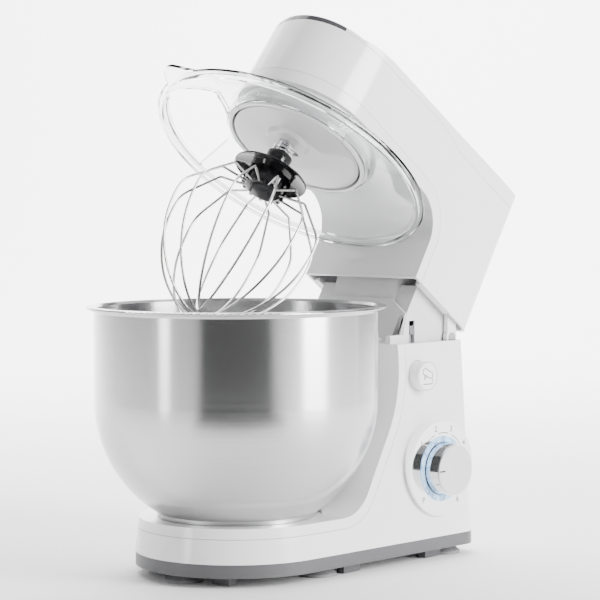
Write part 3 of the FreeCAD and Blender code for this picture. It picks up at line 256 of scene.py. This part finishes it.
def polished(name, colour, rough=0.05):
    """Bright metal with a faint waviness and an uneven polish."""
    m = Nodes(name, colour, rough, 1.0)
    broad = m.noise(m.place(), scale=70, detail=4, rough=0.6)
    m.roughen(broad, rough * 0.6, rough * 1.9)
    m.bump(m.noise(m.place(), scale=420, detail=2), strength=0.015, distance=0.0002)
    return m.material


def clear_plastic(name):
    """Clear moulded lid: smooth, with the slightest flow ripple."""
    m = Nodes(name, (0.97, 0.98, 0.985), 0.02, 0.0, Transmission_Weight=1.0, IOR=1.46)
    at = m.place()
    m.roughen(m.noise(at, scale=40, detail=3), 0.012, 0.05)
    m.bump(m.noise(at, scale=55, detail=2), strength=0.03, distance=0.0006)
    return m.material


def glowing_ring(name):
    """Glossy blue ring that glows a little unevenly, as if lit from inside."""
    m = Nodes(name, (0.35, 0.55, 0.82), 0.12, Coat_Weight=0.6, Coat_Roughness=0.05)
    cloud = m.noise(m.place(), scale=130, detail=3)
    m.tint(cloud, (0.12, 0.24, 0.42), (0.5, 0.72, 0.95))
    glow = m.spread(cloud, "Fac", low=0.15, high=1.1, from_low=0.35, from_high=0.65)
    m.put("Emission Color", (0.32, 0.6, 1.0, 1.0))
    m.link(glow, "Result", m.shader, "Emission Strength")
    return m.material


def flat_print(name, colour, rough=0.4):
    """Ink of a printed mark; the same dark ink also paints the shadow of the gap round the release
    button.
    """
    m = Nodes(name, colour, rough)
    fine = m.noise(m.place(), scale=2500, detail=3)
    m.roughen(fine, rough * 0.9, rough * 1.1)
    m.tint(fine, [c * 0.9 for c in colour], colour)
    return m.material


def board_green(name):
    """Lacquered circuit board with raised tracks."""
    m = Nodes(name, (0.05, 0.2, 0.09), 0.3, Coat_Weight=0.4)
    tracks = m.add("ShaderNodeTexVoronoi", feature="DISTANCE_TO_EDGE")
    tracks.inputs["Scale"].default_value = 220
    m.link(m.place(), "Vector", tracks, "Vector")
    m.bump(tracks, strength=0.2, distance=0.0002, out="Distance")
    m.tint(m.noise(m.place(), scale=90, detail=3), (0.03, 0.14, 0.06), (0.07, 0.26, 0.11))
    return m.material


LOOKS = {
    "white_shell": shell_plastic("white_shell", (0.86, 0.86, 0.865)),
    "lower": shell_plastic("white_lower", (0.83, 0.83, 0.835), rough=0.2),
    "disc": shell_plastic("disc_grey", (0.72, 0.72, 0.725), rough=0.22),
    "grey": satin_plastic("grey_band", (0.085, 0.085, 0.09), rough=0.4),
    "neck": satin_plastic("neck_white", (0.66, 0.66, 0.665), rough=0.35, strength=0.12),
    "dark": shell_plastic("dark_trim", (0.06, 0.06, 0.065), rough=0.12),
    "black": shell_plastic("black_hub", (0.004, 0.004, 0.005), rough=0.09, coat=0.1),
    "inner": satin_plastic("inner_plastic", (0.55, 0.55, 0.54), rough=0.5),
    "rubber": rubber("foot_rubber", (0.2, 0.2, 0.21)),
    "belt": rubber("belt_rubber", (0.02, 0.02, 0.02)),
    "bowl": brushed_bowl("brushed_bowl"),
    "bowl_foot": worked_metal("bowl_foot_steel", (0.55, 0.55, 0.56), 0.3, scale=(30, 30, 900)),
    "wire": worked_metal("whisk_wire", (0.62, 0.61, 0.6), 0.22, scale=(300, 300, 60)),
    "steel": worked_metal("machined_steel", (0.5, 0.5, 0.52), 0.35),
    "chrome": polished("chrome", (0.82, 0.82, 0.84)),
    "dial": polished("dial_mirror", (0.9, 0.905, 0.91), rough=0.07),
    "satin_face": worked_metal("satin_face", (0.72, 0.72, 0.74), 0.3, scale=(60, 900, 900)),
    "clear": clear_plastic("clear_lid"),
    "glow": glowing_ring("ring_glow"),
    "nylon": satin_plastic("gear_nylon", (0.75, 0.73, 0.66), rough=0.4, grain=1600, strength=0.12),
    "bronze": worked_metal("bronze", (0.55, 0.38, 0.2), 0.4),
    "copper": worked_metal("copper", (0.65, 0.3, 0.16), 0.35, scale=(40, 900, 40)),
    "iron": worked_metal("laminated_iron", (0.12, 0.12, 0.125), 0.5, scale=(20, 20, 2500),
                         strength=0.3),
    "board": board_green("circuit_board"),
    # dark ink for the printed marks, also used as painted shadow in the gap round the release
    # button
    "print": flat_print("grey_print", (0.02, 0.02, 0.022)),
}
NODE_LOOKS = {
    "base_casing": "white_shell", "front_deck": "white_shell", "head_cover": "white_shell",
    "top_cap": "white_shell", "release_button": "white_shell", "lower_cover": "lower",
    "bowl_seat": "white_shell", "neck": "neck", "neck_face": "neck", "bottom_tray": "grey",
    "suction_feet": "rubber", "tray_screws": "steel", "cord_gland": "dark",
    "hinge_bushes": "bronze", "latch_pin": "steel", "latch_bracket": "inner",
    "latch_lever": "steel", "dial_plate": "dial", "light_ring": "glow", "speed_switch": "dark",
    "switch_bracket": "inner", "control_board": "board", "board_components": "dark",
    "button_spring": "steel", "mixing_bowl": "bowl", "bowl_foot": "bowl_foot",
    "speed_knob": "chrome", "knob_cap": "satin_face", "knob_shaft": "steel", "nose_trim": "dark",
    "rear_trim": "dark", "hinge_arms": "white_shell", "hinge_pin": "steel", "ring_gear": "nylon",
    "shaft_bearings": "bronze", "gear_frame": "inner", "motor_plate": "steel",
    "plate_screws": "steel", "motor_can": "steel", "magnets": "iron", "motor_bearings": "bronze",
    "brushes": "iron", "drive_belt": "belt", "motor_shaft": "steel", "rotor_core": "iron",
    "rotor_winding": "copper", "commutator": "copper", "motor_pulley": "nylon",
    "planet_carrier": "disc", "carrier_bush": "bronze", "input_shaft": "steel",
    "large_pulley": "nylon", "tool_shaft": "chrome", "cross_pin": "chrome",
    "planet_pinion": "nylon", "whisk_spring": "chrome", "whisk_hub": "black",
    "whisk_wires": "wire", "splash_lid": "clear",
}


def paint_nodes():
    for name, obj in NODES.items():
        look = LOOKS[NODE_LOOKS[name]]
        if not obj.material_slots:
            obj.data.materials.append(look)
        for slot in obj.material_slots:
            slot.material = look


# ------------------------------------------------------------------ small pieces
def new_object(name, mesh, look, body):
    obj = bpy.data.objects.new(name, mesh)
    bpy.context.scene.collection.objects.link(obj)
    mesh.materials.append(LOOKS[look])
    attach(obj, body)
    return obj


def side_frame(centre):
    """Matrix that lays a drawing's X on +Y and its Y on +Z, facing +X."""
    turn = Matrix(((0, 0, 1, 0), (1, 0, 0, 0), (0, 1, 0, 0), (0, 0, 0, 1)))
    return Matrix.Translation(centre) @ turn


DEGREES_PER_HOUR = 30


def clock(radius, hour):
    """Point of a clock face in drawing coordinates."""
    angle = math.radians(hour * DEGREES_PER_HOUR)
    return Vector((radius * math.sin(angle), radius * math.cos(angle), 0))


RIBBON_TOP = 0.8    # width of a ribbon's flat top, as a share of its foot


def ribbon(name, paths, width, height, matrix, look, body, closed=False):
    """Flat raised lines with softened shoulders that follow paths drawn in a plane."""
    mesh = bpy.data.meshes.new(name)
    bm = bmesh.new()
    for path in paths:
        rows = []
        count = len(path)
        for i, point in enumerate(path):
            before = path[i - 1] if i or closed else path[i]
            after = path[(i + 1) % count] if i < count - 1 or closed else path[i]
            along = (after - before).normalized()
            side = Vector((-along.y, along.x, 0)) * width / 2
            lift = Vector((0, 0, height))
            top = side * RIBBON_TOP
            row = [point - side, point - top + lift, point + top + lift, point + side]
            rows.append([bm.verts.new(matrix @ p) for p in row])
        pairs = list(zip(rows, rows[1:])) + ([(rows[-1], rows[0])] if closed else [])
        for a, b in pairs:
            for k in range(3):
                bm.faces.new((a[k], a[k + 1], b[k + 1], b[k]))
        if not closed:
            bm.faces.new(rows[0])
            bm.faces.new(list(reversed(rows[-1])))
    bm.normal_update()
    bm.to_mesh(mesh)
    bm.free()
    return new_object(name, mesh, look, body)


def arc(radius, start, end, step=0.08):
    """Points along a clock face between two hours, about step hours apart."""
    count = max(int(abs(end - start) / step), 2)
    return [clock(radius, start + (end - start) * i / count) for i in range(count + 1)]


DIAL_HOURS = {"P": 7.45, "1": 10.35, "2": 11.55, "3": 12.65, "4": 13.85, "5": 15.35, "6": 16.8}
FIGURE_RADIUS, FIGURE_SIZE, FIGURE_HEIGHT = 0.0318, 0.0066, 0.00005
SCALE_RADIUS, SCALE_WIDTH, SCALE_HEIGHT = 0.0278, 0.0006, 0.00006
SCALE_GAP = 0.16    # of an hour, left free beside each figure


def make_dial_marks():
    """Figures round the dial, and inside them an arc from 1 to 6 with gaps at the figures."""
    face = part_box("dial_plate")[1].x
    centre = Vector((face, KNOB_AXIS.y, KNOB_AXIS.z))
    place = side_frame(centre)
    for text, hour in DIAL_HOURS.items():
        data = bpy.data.curves.new(f"dial_{text}", "FONT")
        data.body = text
        data.size = FIGURE_SIZE
        data.align_x, data.align_y = "CENTER", "CENTER"
        data.extrude = FIGURE_HEIGHT
        obj = bpy.data.objects.new(f"dial_{text}", data)
        bpy.context.scene.collection.objects.link(obj)
        data.materials.append(LOOKS["print"])
        obj.matrix_world = place @ Matrix.Translation(clock(FIGURE_RADIUS, hour))
        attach(obj, "base")
    speeds = [DIAL_HOURS[figure] for figure in "12345"]
    lines = [arc(SCALE_RADIUS, a + SCALE_GAP, b - SCALE_GAP) for a, b in zip(speeds, speeds[1:])]
    lines.append(arc(SCALE_RADIUS, DIAL_HOURS["5"] + SCALE_GAP, DIAL_HOURS["6"]))
    ribbon("dial_arc", lines, SCALE_WIDTH, SCALE_HEIGHT, place, "print", "base")


POINTER_ENDS = (-0.0185, -0.0125)
POINTER_WIDTH, POINTER_HEIGHT = 0.0012, 0.0003


def make_pointer():
    """Short dark line near the edge of the knob's face."""
    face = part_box("knob_cap")[1].x
    place = side_frame(Vector((face, KNOB_AXIS.y, KNOB_AXIS.z)))
    line = [Vector((x, 0, 0)) for x in POINTER_ENDS]
    ribbon("knob_pointer", [line], POINTER_WIDTH, POINTER_HEIGHT, place, "print", "knob")


SIGN_WIDTH, SIGN_HEIGHT = 0.0007, 0.00012
# dark ring at the edge of the release button: painted shadow of the gap round the button
GAP_SHADOW_RADIUS, GAP_SHADOW_WIDTH, GAP_SHADOW_HEIGHT = 0.0109, 0.0004, 0.00008


def make_pictogram():
    """Outline of a machine with its head up on the release button, inside a dark ring that paints
    the shadow of the gap round the button.
    """
    low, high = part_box("release_button")
    centre = Vector((high.x, (low.y + high.y) / 2, (low.z + high.z) / 2))
    mm = 0.001
    head = [(-6.2, 2.2), (-5.2, 5.4), (-3.6, 6.4), (5.2, 2.4), (5.6, -0.4), (4.4, -2), (1.2, -1.2)]
    stand = [(-5.4, -6.2), (5.2, -6.2), (5.2, -2.2)]
    whisk = [(-3.4, 0.6), (-4.4, -2.6), (-2.2, -2), (-3.4, 0.6)]
    lines = [[Vector((x * mm, y * mm, 0)) for x, y in line]
             for line in (head + [head[0]], stand, whisk)]
    place = side_frame(centre)
    ribbon("button_sign", lines, SIGN_WIDTH, SIGN_HEIGHT, place, "print", "button")
    # painted shadow of the gap round the button, drawn as a dark ring in the ink of the printed
    # marks
    gap_shadow_ring = arc(GAP_SHADOW_RADIUS, 0, 12, step=0.25)[:-1]
    ribbon("button_gap_shadow", [gap_shadow_ring], GAP_SHADOW_WIDTH, GAP_SHADOW_HEIGHT, place, "print", "button",
           closed=True)


# node, body that holds its fixed end, joint that presses it, direction to that end, shortening
SPRINGS = (
    ("whisk_spring", "tool", "whisk_push", TOOL_AXIS, 0.0032),
    ("button_spring", "base", "release_push", Vector((-1, 0, 0)), 0.0043),
)


def make_springs():
    """Copies of the coils, each attached to the body that holds its fixed end, with the original
    parts hidden.
    """
    for node, body, joint, away, travel in SPRINGS:
        coil = NODES[node].copy()
        coil.data = NODES[node].data.copy()
        coil.name = node + "_coil"
        bpy.context.scene.collection.objects.link(coil)
        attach(coil, body)
        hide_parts(node)
        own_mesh(coil)


# ------------------------------------------------------------------ studio
AWAY = Vector((-0.694, 0.72, 0))        # level, from the camera to the machine and beyond
ACROSS = Vector((0.72, 0.694, 0))       # level, to the camera's right
FLOOR_NEAR, FLOOR_BEND, BEND_RADIUS = -4.0, 2.2, 1.2
WALL_TOP = 4.5
PAPER_HALF_WIDTH = 7
BEND_STEPS = 16


def make_paper():
    """White sheet that lies under the machine and curves up into a wall behind it."""
    mesh = bpy.data.meshes.new("studio_floor")
    bm = bmesh.new()
    angles = [i * math.pi / 2 / BEND_STEPS for i in range(BEND_STEPS + 1)]
    bend = [(FLOOR_BEND + BEND_RADIUS * math.sin(a), BEND_RADIUS - BEND_RADIUS * math.cos(a))
            for a in angles]
    profile = [(FLOOR_NEAR, 0.0)] + bend + [(FLOOR_BEND + BEND_RADIUS, WALL_TOP)]
    sides = (-PAPER_HALF_WIDTH, PAPER_HALF_WIDTH)
    rows = [[bm.verts.new(AWAY * y + ACROSS * s + Vector((0, 0, z))) for s in sides]
            for y, z in profile]
    for a, b in zip(rows, rows[1:]):
        bm.faces.new((a[0], a[1], b[1], b[0]))
    bm.normal_update()
    bm.to_mesh(mesh)
    bm.free()
    floor = bpy.data.objects.new("studio_floor", mesh)
    bpy.context.scene.collection.objects.link(floor)
    for face in mesh.polygons:
        face.use_smooth = True
    paper = Nodes("studio_paper", (0.93, 0.93, 0.93), 0.9)
    paper.roughen(paper.noise(paper.place(), scale=6, detail=3), 0.85, 0.95)
    mesh.materials.append(paper.material)


CARD_NEAR, CARD_FAR = 0.46, 2.4         # toward the camera
CARD_NARROW, CARD_WIDE = 0.3, 1.15      # half widths at those two places
CARD_LIFT, CARD_TOP = 0.003, 2.4
SIDE_CARD_ENDS = ((1.0, -2.2), (2.1, -0.9))
SIDE_CARD_FOOT, SIDE_CARD_TOP = 0.01, 1.6


def make_cards():
    """Dark cards that only reflections show: they give the steel its dark streaks."""
    felt = Nodes("studio_felt", (0.02, 0.02, 0.02), 0.9)
    felt.roughen(felt.noise(felt.place(), scale=30, detail=3), 0.85, 0.95)
    (side_a, depth_a), (side_b, depth_b) = SIDE_CARD_ENDS
    # corners as (to the right, toward the camera, up)
    cards = {
        "card_floor": [(-CARD_NARROW, CARD_NEAR, CARD_LIFT), (CARD_NARROW, CARD_NEAR, CARD_LIFT),
                       (CARD_WIDE, CARD_FAR, CARD_LIFT), (-CARD_WIDE, CARD_FAR, CARD_LIFT)],
        "card_front": [(-CARD_WIDE, CARD_FAR, CARD_LIFT), (CARD_WIDE, CARD_FAR, CARD_LIFT),
                       (CARD_WIDE, CARD_FAR, CARD_TOP), (-CARD_WIDE, CARD_FAR, CARD_TOP)],
        "card_right": [(side_a, depth_a, SIDE_CARD_FOOT), (side_b, depth_b, SIDE_CARD_FOOT),
                       (side_b, depth_b, SIDE_CARD_TOP), (side_a, depth_a, SIDE_CARD_TOP)],
    }
    for name, corners in cards.items():
        mesh = bpy.data.meshes.new(name)
        mesh.from_pydata([tuple(ACROSS * s - AWAY * d + Vector((0, 0, z)))
                          for s, d, z in corners], [], [(0, 1, 2, 3)])
        mesh.materials.append(felt.material)
        card = bpy.data.objects.new(name, mesh)
        bpy.context.scene.collection.objects.link(card)
        card.visible_camera = card.visible_diffuse = card.visible_shadow = False
        card.visible_transmission = False


WORLD_STRENGTH = 0.4
MACHINE_AT, WALL_AT = Vector((0, 0, 0.2)), Vector((-2.4, 2.5, 0.6))
# name, place, size, power in watts, where it points
LAMPS = [
    ("side_right", (2.1, 0.68, 0.95), (0.9, 1.7), 140, MACHINE_AT),
    ("side_front", (-0.42, -2.1, 0.7), (0.3, 1.6), 13, MACHINE_AT),
    ("top", (0.1, 0.3, 2.4), (1.6, 1.6), 26, MACHINE_AT),
    ("backdrop", (-1.0, 1.4, 2.4), (3.0, 1.6), 420, WALL_AT),
    ("floor_left", (-1.6, 0.3, 1.9), (1.6, 1.6), 30, MACHINE_AT),
]


def make_lights():
    """A soft white surround and five area lamps."""
    world = bpy.data.worlds.new("studio_world")
    bpy.context.scene.world = world
    world.use_nodes = True
    background = world.node_tree.nodes["Background"]
    background.inputs["Color"].default_value = (1, 1, 1, 1)
    background.inputs["Strength"].default_value = WORLD_STRENGTH
    for name, at, size, power, target in LAMPS:
        data = bpy.data.lights.new(name, "AREA")
        data.shape = "RECTANGLE"
        data.size, data.size_y = size
        data.energy = power
        lamp = bpy.data.objects.new(name, data)
        bpy.context.scene.collection.objects.link(lamp)
        lamp.location = at
        lamp.rotation_euler = (target - Vector(at)).to_track_quat("-Z", "Y").to_euler()


# ------------------------------------------------------------------ the scene
make_camera()
paint_nodes()
make_dial_marks()
make_pointer()
make_pictogram()
make_springs()
make_paper()
make_cards()
make_lights()

bpy.context.view_layer.update()
